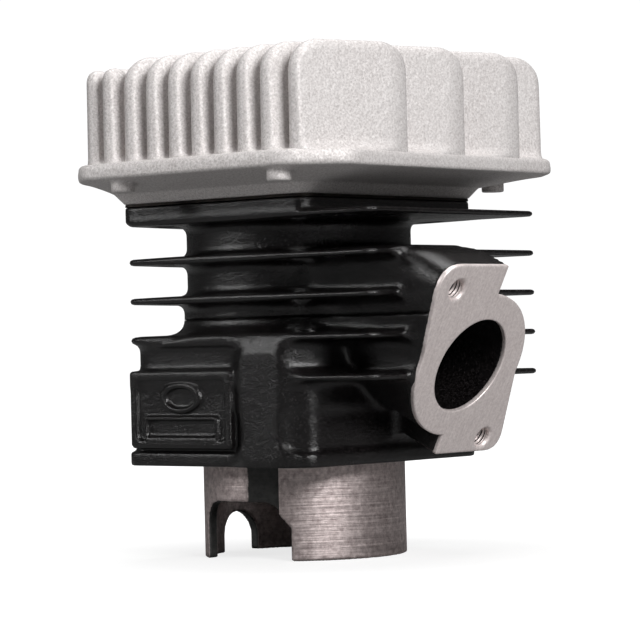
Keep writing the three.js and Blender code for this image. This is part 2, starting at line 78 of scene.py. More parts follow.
def between(z, low, high):
    # distance outside a layer
    return np.abs(z - 0.5 * (low + high)) - 0.5 * (high - low)


def surfaceNet(field, low, high, cell):
    # One vertex in each grid cell that the surface crosses, at the mean of its edge crossings,
    # one quad round each crossed grid edge, then three steps down the field's slope.
    axes = [np.arange(low[i] - 2.37 * cell, high[i] + 3 * cell, cell) for i in range(3)]
    x, y, z = np.meshgrid(*axes, indexing="ij")
    values = field(x, y, z)
    cells = tuple(n - 1 for n in values.shape)
    total = np.zeros(cells + (3,))
    count = np.zeros(cells)
    crossings = []
    for axis in range(3):
        a = np.take(values, range(values.shape[axis] - 1), axis)
        b = np.take(values, range(1, values.shape[axis]), axis)
        crossed = (a < 0) != (b < 0)
        index = np.argwhere(crossed)
        share = a[crossed] / (a[crossed] - b[crossed])
        point = index.astype(float)
        point[:, axis] += share
        u, v = [(1, 2), (2, 0), (0, 1)][axis]
        for du in (0, 1):
            for dv in (0, 1):
                cell3 = index.copy()
                cell3[:, u] -= du
                cell3[:, v] -= dv
                key = tuple(cell3.T)
                np.add.at(total, key, point)
                np.add.at(count, key, 1)
        crossings.append((index, u, v, a[crossed] < 0))
    used = count > 0
    number = np.full(cells, -1)
    number[used] = np.arange(used.sum())
    verts = total[used] / count[used][:, None] * cell + np.array([axis[0] for axis in axes])
    quads = []
    for index, u, v, outwards in crossings:
        ring = []
        for du, dv in ((0, 0), (1, 0), (1, 1), (0, 1)):
            cell3 = index.copy()
            cell3[:, u] -= du
            cell3[:, v] -= dv
            ring.append(number[tuple(cell3.T)])
        ring = np.stack(ring, axis=1)
        quads.append(np.where(outwards[:, None], ring, ring[:, ::-1]))
    step = 0.25 * cell
    for _ in range(3):
        slope = np.stack([
            field(*(verts + shift).T) - field(*(verts - shift).T) for shift in np.eye(3) * step
        ], axis=1) / (2 * step)
        push = field(*verts.T) / np.maximum((slope ** 2).sum(axis=1), 0.2)
        verts = verts - np.clip(push, -0.4 * cell, 0.4 * cell)[:, None] * slope
    return np.clip(verts, low, high), np.concatenate(quads)


def addPiece(name, verts, quads, material, nodeName, slotName):
    mesh = bpy.data.meshes.new(name)
    placed = (verts + np.array([boreX, 0, 0])) * 0.001
    mesh.vertices.add(len(placed))
    mesh.vertices.foreach_set("co", placed.astype(np.float32).ravel())
    mesh.loops.add(quads.size)
    mesh.loops.foreach_set("vertex_index", quads.astype(np.int32).ravel())
    mesh.polygons.add(len(quads))
    mesh.polygons.foreach_set("loop_start", np.arange(0, quads.size, 4, dtype=np.int32))
    mesh.polygons.foreach_set("use_smooth", np.ones(len(quads), dtype=bool))
    mesh.update(calc_edges=True)
    mesh.validate()
    mesh.materials.append(material)
    piece = bpy.data.objects.new(name, mesh)
    bpy.context.scene.collection.objects.link(piece)
    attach(piece, "cylinder")
    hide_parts(nodeName)
    print("piece", name, 2 * len(quads), "triangles")
    return piece


class NodeKit:
    # short names for the nodes that every material here is made of
    def __init__(self, name):
        self.material = bpy.data.materials.new(name)
        self.material.use_nodes = True
        self.tree = self.material.node_tree
        self.shader = self.tree.nodes["Principled BSDF"]
        self.coords = self.tree.nodes.new("ShaderNodeTexCoord").outputs["Object"]

    def link(self, source, target):
        self.tree.links.new(source, target)

    def node(self, kind, **settings):
        made = self.tree.nodes.new(kind)
        for key, value in settings.items():
            setattr(made, key, value)
        return made

    def placed(self, scale, turn=(0, 0, 0), shift=(0, 0, 0)):
        mapping = self.node("ShaderNodeMapping")
        mapping.inputs["Scale"].default_value = scale
        mapping.inputs["Rotation"].default_value = turn
        mapping.inputs["Location"].default_value = shift
        self.link(self.coords, mapping.inputs["Vector"])
        return mapping.outputs["Vector"]

    def noise(self, scale, detail=3, vector=None, roughness=0.5):
        made = self.node("ShaderNodeTexNoise")
        made.inputs["Scale"].default_value = scale
        made.inputs["Detail"].default_value = detail
        made.inputs["Roughness"].default_value = roughness
        self.link(vector or self.coords, made.inputs["Vector"])
        return made.outputs["Fac"]

    def speckle(self, scale):
        made = self.node("ShaderNodeTexVoronoi")
        made.inputs["Scale"].default_value = scale
        self.link(self.coords, made.inputs["Vector"])
        return made.outputs["Distance"]

    def math(self, operation, a, b=None):
        made = self.node("ShaderNodeMath", operation=operation)
        for socket, value in zip(made.inputs, (a, b)):
            if value is None:
                continue
            if isinstance(value, (int, float)):
                socket.default_value = value
            else:
                self.link(value, socket)
        return made.outputs[0]

    def ramp(self, factor, stops):
        made = self.node("ShaderNodeValToRGB")
        points = made.color_ramp.elements
        while len(points) < len(stops):
            points.new(0.5)
        for point, (place, colour) in zip(points, stops):
            point.position = place
            point.color = (*colour, 1)
        self.link(factor, made.inputs["Fac"])
        return made.outputs["Color"]

    def mix(self, factor, a, b):
        made = self.node("ShaderNodeMix", data_type="RGBA")
        self.link(factor, made.inputs["Factor"])
        self.link(a, made.inputs["A"])
        self.link(b, made.inputs["B"])
        return made.outputs["Result"]

    def range(self, value, low, high, toLow, toHigh):
        made = self.node("ShaderNodeMapRange")
        sockets = ("From Min", "From Max", "To Min", "To Max")
        for key, number in zip(sockets, (low, high, toLow, toHigh)):
            made.inputs[key].default_value = number
        self.link(value, made.inputs["Value"])
        return made.outputs["Result"]

    def bump(self, height, distance, strength=1.0, under=None):
        made = self.node("ShaderNodeBump")
        made.inputs["Distance"].default_value = distance
        made.inputs["Strength"].default_value = strength
        self.link(height, made.inputs["Height"])
        if under is not None:
            self.link(under, made.inputs["Normal"])
        return made.outputs["Normal"]


def blastedAluminium():
    # shot-blasted casting: pale, with fine grains, tiny glints and a few pores
    kit = NodeKit("blastedAluminium")
    grain = kit.noise(1900, 4, roughness=0.7)
    cloud = kit.noise(55, 3)
    pits = kit.speckle(900)
    colour = kit.ramp(grain, [(0.34, (0.40, 0.37, 0.36)), (0.50, (0.65, 0.615, 0.605)),
                              (0.66, (0.88, 0.845, 0.835))])
    tone = kit.ramp(cloud, [(0.3, (0.60, 0.565, 0.555)), (0.7, (0.68, 0.655, 0.645))])
    share = kit.range(cloud, 0.2, 0.8, 0.3, 0.45)
    kit.link(kit.mix(share, colour, tone), kit.shader.inputs["Base Color"])
    kit.link(kit.range(grain, 0.3, 0.7, 0.72, 0.5), kit.shader.inputs["Roughness"])
    coarse = kit.bump(kit.noise(620, 3), 0.00022, 0.7)
    fine = kit.bump(grain, 0.00012, 0.7, coarse)
    kit.link(kit.bump(pits, 0.00006, 0.4, fine), kit.shader.inputs["Normal"])
    kit.shader.inputs["Metallic"].default_value = 0.35
    return kit.material


def blackPaint():
    # semi-gloss black over a rough, sandy casting: lumps with sandy grain on top; lighter specks in
    # its colour are painted glints
    kit = NodeKit("blackPaint")
    lumps = kit.noise(460, 5, roughness=0.75)
    waves = kit.noise(90, 2)
    sandAndGlints = kit.noise(1700, 4, roughness=0.7)
    # lighter grey specks where the grain noise is high: painted glints on the black
    colour = kit.ramp(sandAndGlints, [(0.42, (0.0015, 0.0012, 0.0012)), (0.56, (0.007, 0.006, 0.0062)),
                             (0.72, (0.028, 0.024, 0.025))])
    kit.link(colour, kit.shader.inputs["Base Color"])
    kit.link(kit.range(waves, 0.3, 0.7, 0.17, 0.28), kit.shader.inputs["Roughness"])
    low = kit.bump(waves, 0.0008, 0.35)
    middle = kit.bump(lumps, 0.00022, 0.8, low)
    kit.link(kit.bump(sandAndGlints, 0.00011, 0.9, middle), kit.shader.inputs["Normal"])
    kit.shader.inputs["Specular IOR Level"].default_value = 0.5
    return kit.material


def turnedIron():
    # turned skirt: fine rings one above another; black paint is left where the tool never reached
    kit = NodeKit("turnedIron")
    rings = kit.noise(1, 3, kit.placed((40, 40, 2600)), 0.6)
    streaks = kit.noise(1, 2, kit.placed((220, 220, 900)))
    mottle = kit.noise(700, 4, roughness=0.7)
    colour = kit.ramp(rings, [(0.3, (0.36, 0.295, 0.288)), (0.5, (0.52, 0.445, 0.435)),
                              (0.7, (0.70, 0.62, 0.605))])
    spots = kit.ramp(mottle, [(0.34, (0.30, 0.24, 0.235)), (0.66, (0.78, 0.68, 0.665))])
    bare = kit.mix(kit.range(streaks, 0.2, 0.8, 0.5, 0.85), colour, spots)
    paint = kit.ramp(mottle, [(0.3, (0.012, 0.013, 0.012)), (0.7, (0.045, 0.043, 0.042))])
    split = kit.node("ShaderNodeSeparateXYZ")
    kit.link(kit.placed((1000, 1000, 1000), shift=(-boreX, 0, 0)), split.inputs[0])
    radius = kit.math("SQRT", kit.math("ADD", kit.math("POWER", split.outputs[0], 2.0),
                                       kit.math("POWER", split.outputs[1], 2.0)))
    ragged = kit.math("ADD", radius, kit.range(mottle, 0, 1, -0.08, 0.08))
    skin = kit.range(ragged, skirt["radius"] - 0.22, skirt["radius"] - 0.14, 0, 1)
    wall = kit.range(radius, skirt["bore"] + 0.12, skirt["bore"] + 0.2, 1, 0)
    turned = kit.math("MAXIMUM", skin, wall)
    kit.link(kit.mix(turned, paint, bare), kit.shader.inputs["Base Color"])
    kit.link(turned, kit.shader.inputs["Metallic"])
    kit.link(kit.range(rings, 0.3, 0.7, 0.36, 0.55), kit.shader.inputs["Roughness"])
    grooves = kit.bump(rings, 0.00010, 0.6)
    kit.link(kit.bump(mottle, 0.00008, 0.5, grooves), kit.shader.inputs["Normal"])
    return kit.material


def milledIron():
    # fly-cut flange face: pale fine grain with faint slanting tool lines
    kit = NodeKit("milledIron")
    lines = kit.noise(1, 3, kit.placed((160, 2200, 160), (0.9, 0, 0.5)), 0.6)
    grain = kit.noise(1300, 4, roughness=0.7)
    colour = kit.ramp(lines, [(0.3, (0.66, 0.58, 0.565)), (0.7, (0.90, 0.82, 0.80))])
    spots = kit.ramp(grain, [(0.3, (0.58, 0.50, 0.49)), (0.7, (0.98, 0.90, 0.88))])
    share = kit.range(grain, 0, 1, 0.4, 0.7)
    kit.link(kit.mix(share, colour, spots), kit.shader.inputs["Base Color"])
    kit.link(kit.range(lines, 0.3, 0.7, 0.4, 0.55), kit.shader.inputs["Roughness"])
    scored = kit.bump(lines, 0.00003, 0.4)
    kit.link(kit.bump(grain, 0.00004, 0.5, scored), kit.shader.inputs["Normal"])
    kit.shader.inputs["Metallic"].default_value = 0.5
    return kit.material


def plainMetal(name, dark, light, roughness, lineScale, metallic=1.0):
    # worked metal: fine lines stretched along one way, with a slight change of tone
    kit = NodeKit(name)
    lines = kit.noise(1, 3, kit.placed(lineScale), 0.6)
    kit.link(kit.ramp(lines, [(0.3, dark), (0.7, light)]), kit.shader.inputs["Base Color"])
    worn = kit.range(lines, 0.3, 0.7, roughness - 0.06, roughness + 0.06)
    kit.link(worn, kit.shader.inputs["Roughness"])
    kit.link(kit.bump(lines, 0.00003, 0.5), kit.shader.inputs["Normal"])
    kit.shader.inputs["Metallic"].default_value = metallic
    return kit.material


# The barrel, in millimetres about the bore axis.
skirt = {"radius": 26.5, "bore": 23.8, "length": 24.4}
arch = {"half": 13.5, "top": 15.0, "corner": 6.0, "frontHalf": 11.6, "spread": 2.6, "spreadTop": 13.5,
        "spreadHeight": 5.0}
notch = {"half": 6.5, "middle": 4.1}
recess = {"low": 12.0, "high": 24.6, "y": 26.3, "slope": (-0.447, 0.894)}
transfer = {"low": 3.2, "high": 11.6, "inner": 25.6, "outer": 31.0, "roof": 51.0, "windowLow": 51.0,
            "windowHigh": 59.5, "windowInner": 18.0, "rise": 0.6, "riseFrom": 23.0}
fins = {"count": 5, "pitch": 10.2, "top": 86.5, "thick": 2.0, "backX": -31.0, "frontX": 53.0,
        "corner": 4.0, "tipHalf": 0.72, "rootExtra": 0.45, "taperFrom": 48.0, "taperLength": 18.0}
core = {"radius": 29.5, "flare": 9.0, "shoulderCorner": 9.5}
stud = {"x": 23.0, "y": 26.5, "hole": 4.0}
pad = {"low": -28.0, "high": 7.0, "standoff": 1.5, "wallInset": 1.5, "bottom": 29.0, "top": 49.0,
       "frame": 2.2, "depth": 1.1}
badge = {"x": -10.5, "ringZ": 42.0, "ringStretch": 1.9, "ringRadius": 3.2, "ringHalf": 0.55,
         "barZ": 34.2, "barHalf": (12.5, 2.6), "barCorner": 0.8, "lineHalf": 0.5}
bulge = {"low": 9.0, "high": 25.0, "standoff": 1.8}
exhaust = {"tilt": math.radians(27), "x": 56.0, "z": 48.6, "port": 12.75, "boss": 19.5,
           "screwU": 16.8, "screwV": 21.0, "screw": 2.55, "windowZ": 59.55, "windowX": 16.7,
           "halfWidth": 12.0, "halfHeight": 7.25, "plate": 1.4}

thread = {"crest": 2.45, "depth": 0.62, "top": 0.5, "bottom": 12.0, "around": 40, "along": 97}

lowFinZ = fins["top"] - (fins["count"] - 1) * fins["pitch"]
shoulderZ = lowFinZ + fins["pitch"]
ductTopZ = fins["top"] - fins["pitch"] + fins["thick"]


def faceCoords(x, y, z):
    # across the exhaust face, up it, and out of it
    sine, cosine = math.sin(exhaust["tilt"]), math.cos(exhaust["tilt"])
    dx, dz = x - exhaust["x"], z - exhaust["z"]
    return y, dx * sine + dz * cosine, dx * cosine - dz * sine


def lug(u, v, top, side, corner):
    # one ear of the flange: straight top, sharp inner corner, slanting outer side, round outer corner
    slant = -(u + exhaust["boss"]) * 0.972 - v * 0.234
    ear = smoothMax(v - top, slant, corner)
    return np.maximum(np.maximum(ear, u - side), -v - 1.0)


def flangeOutline(u, v):
    # a round boss about the port and two opposite ears
    boss = np.hypot(u / 1.03, v) - exhaust["boss"]
    upper = lug(u, v, 27.6, 0.4, 9.0)
    lower = lug(-u, -v, 24.9, 0.7, 6.0)
    return np.minimum(smoothMin(boss, upper, 0.8), lower)


def screwHoles(u, v):
    # distance to the nearer of the two screw holes in the flange
    return np.minimum(np.hypot(u + exhaust["screwU"], v - exhaust["screwV"]),
                      np.hypot(u - exhaust["screwU"], v + exhaust["screwV"])) - exhaust["screw"]


def ductField(x, y, z):
    # a round port at the face that narrows to a wide, low window in the bore
    share = np.clip((x - exhaust["windowX"]) / (exhaust["x"] - exhaust["windowX"]), 0, 1.4)
    middle = exhaust["windowZ"] + (exhaust["z"] - exhaust["windowZ"]) * share
    wide = exhaust["halfWidth"] + (exhaust["port"] - exhaust["halfWidth"]) * share
    portHigh = exhaust["port"] / math.cos(exhaust["tilt"])
    high = exhaust["halfHeight"] + (portHigh - exhaust["halfHeight"]) * share
    ring = np.hypot(y / wide, (z - middle) / high) - 1
    return np.maximum(ring * np.minimum(wide, high), exhaust["windowX"] - x)


def studField(x, y):
    return np.hypot(np.abs(x) - stud["x"], np.abs(y) - stud["y"]) - stud["hole"]


def transferField(x, y, z):
    # an upright slot beside the bore from the base face, joined to a slanting one to its window
    across = between(x, transfer["low"], transfer["high"])
    out = np.abs(y)
    rising = np.maximum(between(out, transfer["inner"], transfer["outer"]), z - transfer["roof"])
    slanted = z + transfer["rise"] * (out - transfer["riseFrom"])
    inward = np.maximum(between(slanted, transfer["windowLow"], transfer["windowHigh"]),
                        between(out, transfer["windowInner"], transfer["outer"]))
    return smoothMax(across, np.minimum(rising, inward), 1.5)


def padRelief(x, z):
    # raised frame, a bar under a ring in the panel: a plain badge with nothing on it
    middle = (0.5 * (pad["low"] + pad["high"]), 0.5 * (pad["bottom"] + pad["top"]))
    half = (0.5 * (pad["high"] - pad["low"]) - pad["frame"],
            0.5 * (pad["top"] - pad["bottom"]) - pad["frame"])
    panel = roundBox(x, z, middle, half, 1.2)
    ring = np.hypot((x - badge["x"]) / badge["ringStretch"], z - badge["ringZ"]) - badge["ringRadius"]
    bar = roundBox(x, z, (badge["x"], badge["barZ"]), badge["barHalf"], badge["barCorner"])
    lines = np.minimum(np.abs(ring) - badge["ringHalf"], np.abs(bar) - badge["lineHalf"])
    return smoothMax(panel, -lines, 0.5)


def bodyField(x, y, z):
    # the black casting: rounded blocks, fins, pad, bulges and exhaust duct melted into each other
    rho = np.hypot(x, y)
    foot = smoothMax(roundBox(x, y, (0, 0), (halfBaseX, halfBaseY), fins["corner"]),
                     between(z, skirt["length"], pad["bottom"] - 1.0), 0.8)
    wallPlan = roundBox(x, y, (0, 0), (halfBaseX - 0.6, halfBaseY - pad["wallInset"]), fins["corner"])
    wall = smoothMax(wallPlan, between(z, skirt["length"] + 1, lowFinZ + fins["thick"]), 1.0)
    base = smoothMin(foot, wall, 1.2)
    shoulderPlan = roundBox(x, y, (0, 0), (halfBaseX - 0.4, halfBaseY - 0.6), core["shoulderCorner"])
    shoulder = smoothMax(shoulderPlan, between(z, lowFinZ - 6, shoulderZ + 1), 2.0)
    body = smoothMin(base, shoulder, 3.0)
    for side in (-1, 1):
        swell = smoothMax(
            roundBox(x, y, (0.5 * (bulge["low"] + bulge["high"]), side * (halfBaseY - 3)),
                     (0.5 * (bulge["high"] - bulge["low"]), 3 + bulge["standoff"]), 4.0),
            between(z, skirt["length"] + 0.3, shoulderZ - 1), 4.0)
        body = smoothMin(body, swell, 4.5)
    groove = np.hypot(x + halfBaseX + 0.6, np.abs(y) - halfBaseY - 0.6) - 4.0
    body = smoothMax(body, -np.maximum(groove, between(z, pad["bottom"] + 2, lowFinZ - 1)), 1.6)
    padFront = halfBaseY + pad["standoff"]
    padPlan = np.maximum(between(x, pad["low"], pad["high"]), between(-y, halfBaseY - 4, padFront))
    body = smoothMin(body, smoothMax(padPlan, between(z, pad["bottom"], pad["top"]), 1.0), 0.8)
    relief = np.maximum(padRelief(x, z), padFront - pad["depth"] + y)
    body = smoothMax(body, -np.maximum(relief, -y - padFront - 2), 0.5)
    barrel = smoothMax(rho - core["radius"], between(z, skirt["length"], deckTop), 0.6)
    spread = core["radius"] + core["flare"] * np.clip(1 - (z - shoulderZ) / 7.5, 0, 1) ** 2.6
    flare = smoothMax(np.maximum(rho - spread, roundBox(x, y, (0, 0), (halfBaseX, halfBaseY), 12.0)),
                      between(z, shoulderZ, shoulderZ + 9), 0.5)
    body = smoothMin(smoothMin(body, flare, 1.5), barrel, 4.0)
    u, v, w = faceCoords(x, y, z)
    stub = smoothMax(flangeOutline(u, v), between(w, -42.0, -0.5 * exhaust["plate"]), 0.6)
    stub = smoothMax(stub, z - ductTopZ - 0.3, 2.5)
    body = smoothMin(body, np.maximum(stub, 8.0 - x), 3.0)
    for index in range(fins["count"]):
        low = fins["top"] - index * fins["pitch"]
        middle = low + 0.5 * fins["thick"]
        taper = np.clip((fins["taperFrom"] - rho) / fins["taperLength"], 0, 1)
        half = fins["tipHalf"] + fins["rootExtra"] * taper
        plan = roundBox(x, y, (0.5 * (fins["backX"] + fins["frontX"]), 0),
                        (0.5 * (fins["frontX"] - fins["backX"]), halfBaseY), fins["corner"])
        plate = smoothMax(plan, np.abs(z - middle) - half, 1.1)
        body = smoothMin(body, plate, 2.4)
    deck = smoothMax(roundBox(x, y, (0, 0), (halfBaseX, halfBaseY), fins["corner"]),
                     between(z, fins["top"] + 1.0, deckTop), 0.8)
    body = smoothMin(body, deck, 1.0)
    cuts = np.minimum(studField(x, y), rho - skirt["bore"] - 0.6)
    cuts = np.minimum(cuts, ductField(x, y, z))
    cuts = np.minimum(cuts, transferField(x, y, z))
    cuts = np.minimum(cuts, np.maximum(screwHoles(u, v) - 0.35, -w - 13))
    body = smoothMax(body, -cuts, 0.5)
    return np.maximum(body, z - deckTop + 0.02)


def skirtField(x, y, z):
    # turned tube with an arch each side, a round notch behind and a shallow cast recess by each arch
    rho = np.hypot(x, y)
    outer = np.where(z < skirt["length"] + 0.2, skirt["radius"], skirt["bore"] + 1.0)
    tube = np.maximum(np.maximum(rho - outer, skirt["bore"] - rho), between(z, 0.0, deckTop - 0.02))
    down = np.clip((arch["spreadTop"] - z) / arch["spreadHeight"], 0, 1)
    edge = arch["frontHalf"] + arch["spread"] * down ** 1.5
    spread = np.where(x > 0, x * arch["half"] / edge, x)
    archPlan = roundBox(spread, z, (0, arch["top"] - 20), (arch["half"], 20), arch["corner"])
    archCut = np.maximum(archPlan, 10 - np.abs(y))
    notchCut = np.hypot(y, np.maximum(z - notch["middle"], 0)) - notch["half"]
    recessPlan = np.maximum(between(x, transfer["low"], transfer["high"]),
                            between(z, recess["low"], recess["high"]))
    alongX, alongY = recess["slope"]
    slope = (x - transfer["low"]) * alongX - (np.abs(y) - recess["y"]) * alongY
    cuts = np.minimum(archCut, np.maximum(notchCut, x))
    cuts = np.minimum(cuts, np.where(z < 24.5, np.maximum(recessPlan, slope), 9.0))
    cuts = np.minimum(cuts, np.maximum(ductField(x, y, z), 10 - x))
    cuts = np.minimum(cuts, np.maximum(transferField(x, y, z), 30 - z))
    return smoothMax(tube, -cuts, 0.45)


def ontoFace(u, v, w):
    # the opposite of faceCoords: flat coordinates tilted into place
    sine, cosine = math.sin(exhaust["tilt"]), math.cos(exhaust["tilt"])
    return np.stack([exhaust["x"] + v * sine + w * cosine, u,
                     exhaust["z"] + v * cosine - w * sine], axis=-1)


def flangeFace():
    # the bare milled skin of the exhaust flange, worked out flat and then tilted into place
    def field(u, v, w):
        plate = smoothMax(flangeOutline(u, v), between(w, -exhaust["plate"], 0.0), 0.25)
        holes = screwHoles(u, v)
        mouth = np.maximum(holes - 0.6 + np.clip(-w, 0, 1.4) * 0.8, -1.4 - w)
        port = np.hypot(u, v) - exhaust["port"]
        return smoothMax(plate, -np.minimum(np.minimum(holes, mouth), port), 0.25)
    verts, quads = surfaceNet(field, (-26, -26, -exhaust["plate"]), (26, 28.5, 0), 0.33)
    return ontoFace(*verts.T), quads


def threadedSleeve(screwU, screwV):
    # M6 thread: a tube whose inner radius rises and falls once a millimetre along a helix
    around = np.linspace(0, 2 * np.pi, thread["around"], endpoint=False)
    along = np.linspace(thread["top"], thread["bottom"], thread["along"])
    angle, down = np.meshgrid(around, along, indexing="ij")
    phase = np.mod(down - angle / (2 * np.pi), 1.0)
    radius = thread["crest"] + thread["depth"] * np.abs(2 * phase - 1)
    points = ontoFace(screwU + radius * np.cos(angle), screwV + radius * np.sin(angle), -down)
    rows, columns = angle.shape
    index = np.arange(rows * columns).reshape(rows, columns)
    nextRow = np.roll(index, -1, axis=0)
    quads = np.stack([index[:, :-1], nextRow[:, :-1], nextRow[:, 1:], index[:, 1:]], axis=-1)
    return points.reshape(-1, 3), quads.reshape(-1, 4)


# The head, in millimetres about the bore axis.
head = {"backX": -40.0, "frontX": 53.0, "halfY": 53.0, "chamfer": 12.0, "thick": 4.0,
        "drop": 2.8, "rise": 5.8, "angle": math.radians(18.5), "pitch": 7.3, "count": 14,
        "shift": 1.0, "insetX": 1.2, "inset": 2.2, "root": 2.45, "tip": 1.95, "endCorner": 8.5,
        "innerCorner": 3.0, "fillet": 2.0, "post": 7.5, "postCorner": 3.6, "postDrop": 2.3,
        "shortest": 5.0, "nutWell": 9.0, "plugWell": 14.0, "plugHole": 6.4, "chamber": 15.5,
        "chamberDepth": 8.5, "plugReach": 12.7, "bossInset": 5.0, "boss": 3.0, "bossDrop": 3.5,
        "bosses": ((36.0, -1), (28.0, 1), (-17.0, -1), (-17.0, 1))}
rimLow = footZ + head["rise"]
rimTop = rimLow + head["thick"]
alongFin = np.array([math.sin(head["angle"]), math.cos(head["angle"])])
acrossFin = np.array([math.cos(head["angle"]), -math.sin(head["angle"])])
studPlaces = [(sx * stud["x"], sy * stud["y"]) for sx in (-1, 1) for sy in (-1, 1)]


def rimOutline(x, y, blend=3.0, insetX=0.0, insetY=0.0):
    # chamfered rectangle with softened corners, drawn in by an inset each way
    middle = 0.5 * (head["backX"] + head["frontX"])
    halfX = 0.5 * (head["frontX"] - head["backX"])
    px, py = np.abs(x - middle) - halfX + insetX, np.abs(y) - head["halfY"] + insetY
    slope = (px + py + head["chamfer"]) / math.sqrt(2)
    return smoothMax(smoothMax(px, slope, blend), py, blend)


def finSpan(offset):
    # where the fin's centre line enters and leaves the rim, a little inside it
    places = np.linspace(-90, 90, 3601)
    x = acrossFin[0] * offset + alongFin[0] * places
    y = acrossFin[1] * offset + alongFin[1] * places
    kept = places[rimOutline(x, y, 0.1, head["insetX"], head["inset"]) < 0]
    return kept[0], kept[-1]


def finPieces():
    # each fin line, cut by the plug well and nut wells; two corners are left as short posts
    middle = 0.5 * (head["frontX"] + head["backX"]) * acrossFin[0] + head["shift"]
    for index in range(head["count"]):
        offset = middle + (index - 0.5 * (head["count"] - 1)) * head["pitch"]
        low, high = finSpan(offset)
        gaps = []
        wells = [(0, 0, head["plugWell"])] + [(x, y, head["nutWell"]) for x, y in studPlaces]
        for x, y, radius in wells:
            place = x * alongFin[0] + y * alongFin[1]
            clear = max(0, abs(offset - x * acrossFin[0] - y * acrossFin[1]) - head["root"])
            if clear >= radius:
                continue
            half = math.sqrt(radius ** 2 - clear ** 2)
            gap = [place - half, place + half]
            if x * y > 0 and place < 0:
                gap[0] = min(gap[0], low + head["post"])
            if x * y > 0 and place > 0:
                gap[1] = max(gap[1], high - head["post"])
            gaps.append(gap)
        start, pieces = low, []
        for gapLow, gapHigh in sorted(gaps):
            pieces.append((start, gapLow))
            start = max(start, gapHigh)
        pieces.append((start, high))
        for begin, end in pieces:
            if end - begin < head["shortest"]:
                continue
            if end - begin < head["endCorner"]:
                yield (index, offset, begin, end, headTop - head["postDrop"],
                       head["postCorner"], head["postCorner"])
                continue
            yield (index, offset, begin, end, headTop,
                   head["endCorner"] if begin == low else head["innerCorner"],
                   head["endCorner"] if end == high else head["innerCorner"])


def finField(offset, begin, end, top, beginCorner, endCorner):
    # a slab with round ends, a little draft, rounded top corners and a spreading foot
    def field(x, y, z):
        t = x * alongFin[0] + y * alongFin[1]
        s = x * acrossFin[0] + y * acrossFin[1] - offset
        share = np.clip((z - rimTop) / (headTop - rimTop), 0, 1)
        foot = np.clip(head["fillet"] - (z - rimTop), 0, head["fillet"])
        spread = head["fillet"] - np.sqrt(np.maximum(head["fillet"] ** 2 - foot ** 2, 0))
        half = head["root"] + (head["tip"] - head["root"]) * share + np.minimum(spread, 1.8)
        beyond = np.maximum(np.maximum(begin + half - t, t - end + half), 0)
        plan = np.hypot(s, beyond) - half
        roof = z - top
        for inwards, corner in ((t - begin, beginCorner), (end - t, endCorner)):
            a, b = np.maximum(corner - inwards, 0), np.maximum(z - top + corner, 0)
            roof = np.maximum(roof, np.where(a > 0, np.hypot(a, b) - corner, -50.0))
        fin = smoothMax(plan, roof, 2.2)
        fin = smoothMax(fin, rimOutline(x, y, 3.0, 0.4, 0.4), 0.8)
        return np.maximum(fin, rimTop - 1.2 - z)
    return field


def headFins(chosen):
    verts, quads, start = [], [], 0
    for index, offset, begin, end, *shape in finPieces():
        if index not in chosen:
            continue
        ends = np.array([acrossFin * offset + alongFin * place for place in (begin, end)])
        low = (*(ends.min(axis=0) - 5), rimTop - 1.2)
        high = (*(ends.max(axis=0) + 5), headTop)
        v, q = surfaceNet(finField(offset, begin, end, *shape), low, high, 0.8)
        verts.append(v)
        quads.append(q + start)
        start += len(v)
    return np.concatenate(verts), np.concatenate(quads)


def plateField(x, y, z):
    # the rim plate on its foot, with a hollow curve between them, the plug boss and hanging bosses
    rho = np.hypot(x, y)
    plate = smoothMax(rimOutline(x, y), between(z, rimLow, rimTop), 1.8)
    slopeShare = np.clip((z - footZ - head["drop"]) / (rimLow - footZ - head["drop"]), 0, 1)
    grow = np.clip(z - footZ, 0, head["drop"])
    foot = roundBox(x, y, (0, 0), (halfBaseX, halfBaseY), 4.0) - grow
    under = foot * (1 - slopeShare) + rimOutline(x, y, 3.0, 0.6, 0.6) * slopeShare
    neck = smoothMax(under * 0.45, between(z, footZ, rimLow + 1), 0.4)
    body = smoothMin(plate, neck, 1.2)
    plugSeat = footZ + head["chamberDepth"] + head["plugReach"]
    boss = smoothMax(rho - head["plugWell"] + 1, between(z, footZ + 2, plugSeat), 1.0)
    body = smoothMin(body, boss, 3.0)
    for bossX, side in head["bosses"]:
        pin = np.hypot(x - bossX, side * y - head["halfY"] + head["bossInset"]) - head["boss"]
        pin = smoothMax(pin, between(z, rimLow - head["bossDrop"], rimLow + 1), 0.5)
        body = smoothMin(body, pin, 0.6)
    dome = np.hypot(rho / head["chamber"], np.maximum(z - footZ, 0) / head["chamberDepth"]) - 1
    cuts = np.minimum(dome * head["chamberDepth"], rho - head["plugHole"])
    cuts = np.minimum(cuts, studField(x, y))
    return smoothMax(body, -cuts, 0.5)


painted = blackPaint()
blasted = blastedAluminium()
milled = milledIron()
turned = turnedIron()

cell = 0.72
barrelLow = 1000 * np.array(barrelBox[0]) - (boreX, 0, 0)
barrelHigh = 1000 * np.array(barrelBox[1]) - (boreX, 0, 0)
splitZ = 62.0


def upperHalf(x, y, z):
    return np.maximum(bodyField(x, y, z), splitZ - z)


def lowerHalf(x, y, z):
    return np.maximum(bodyField(x, y, z), z - splitZ)


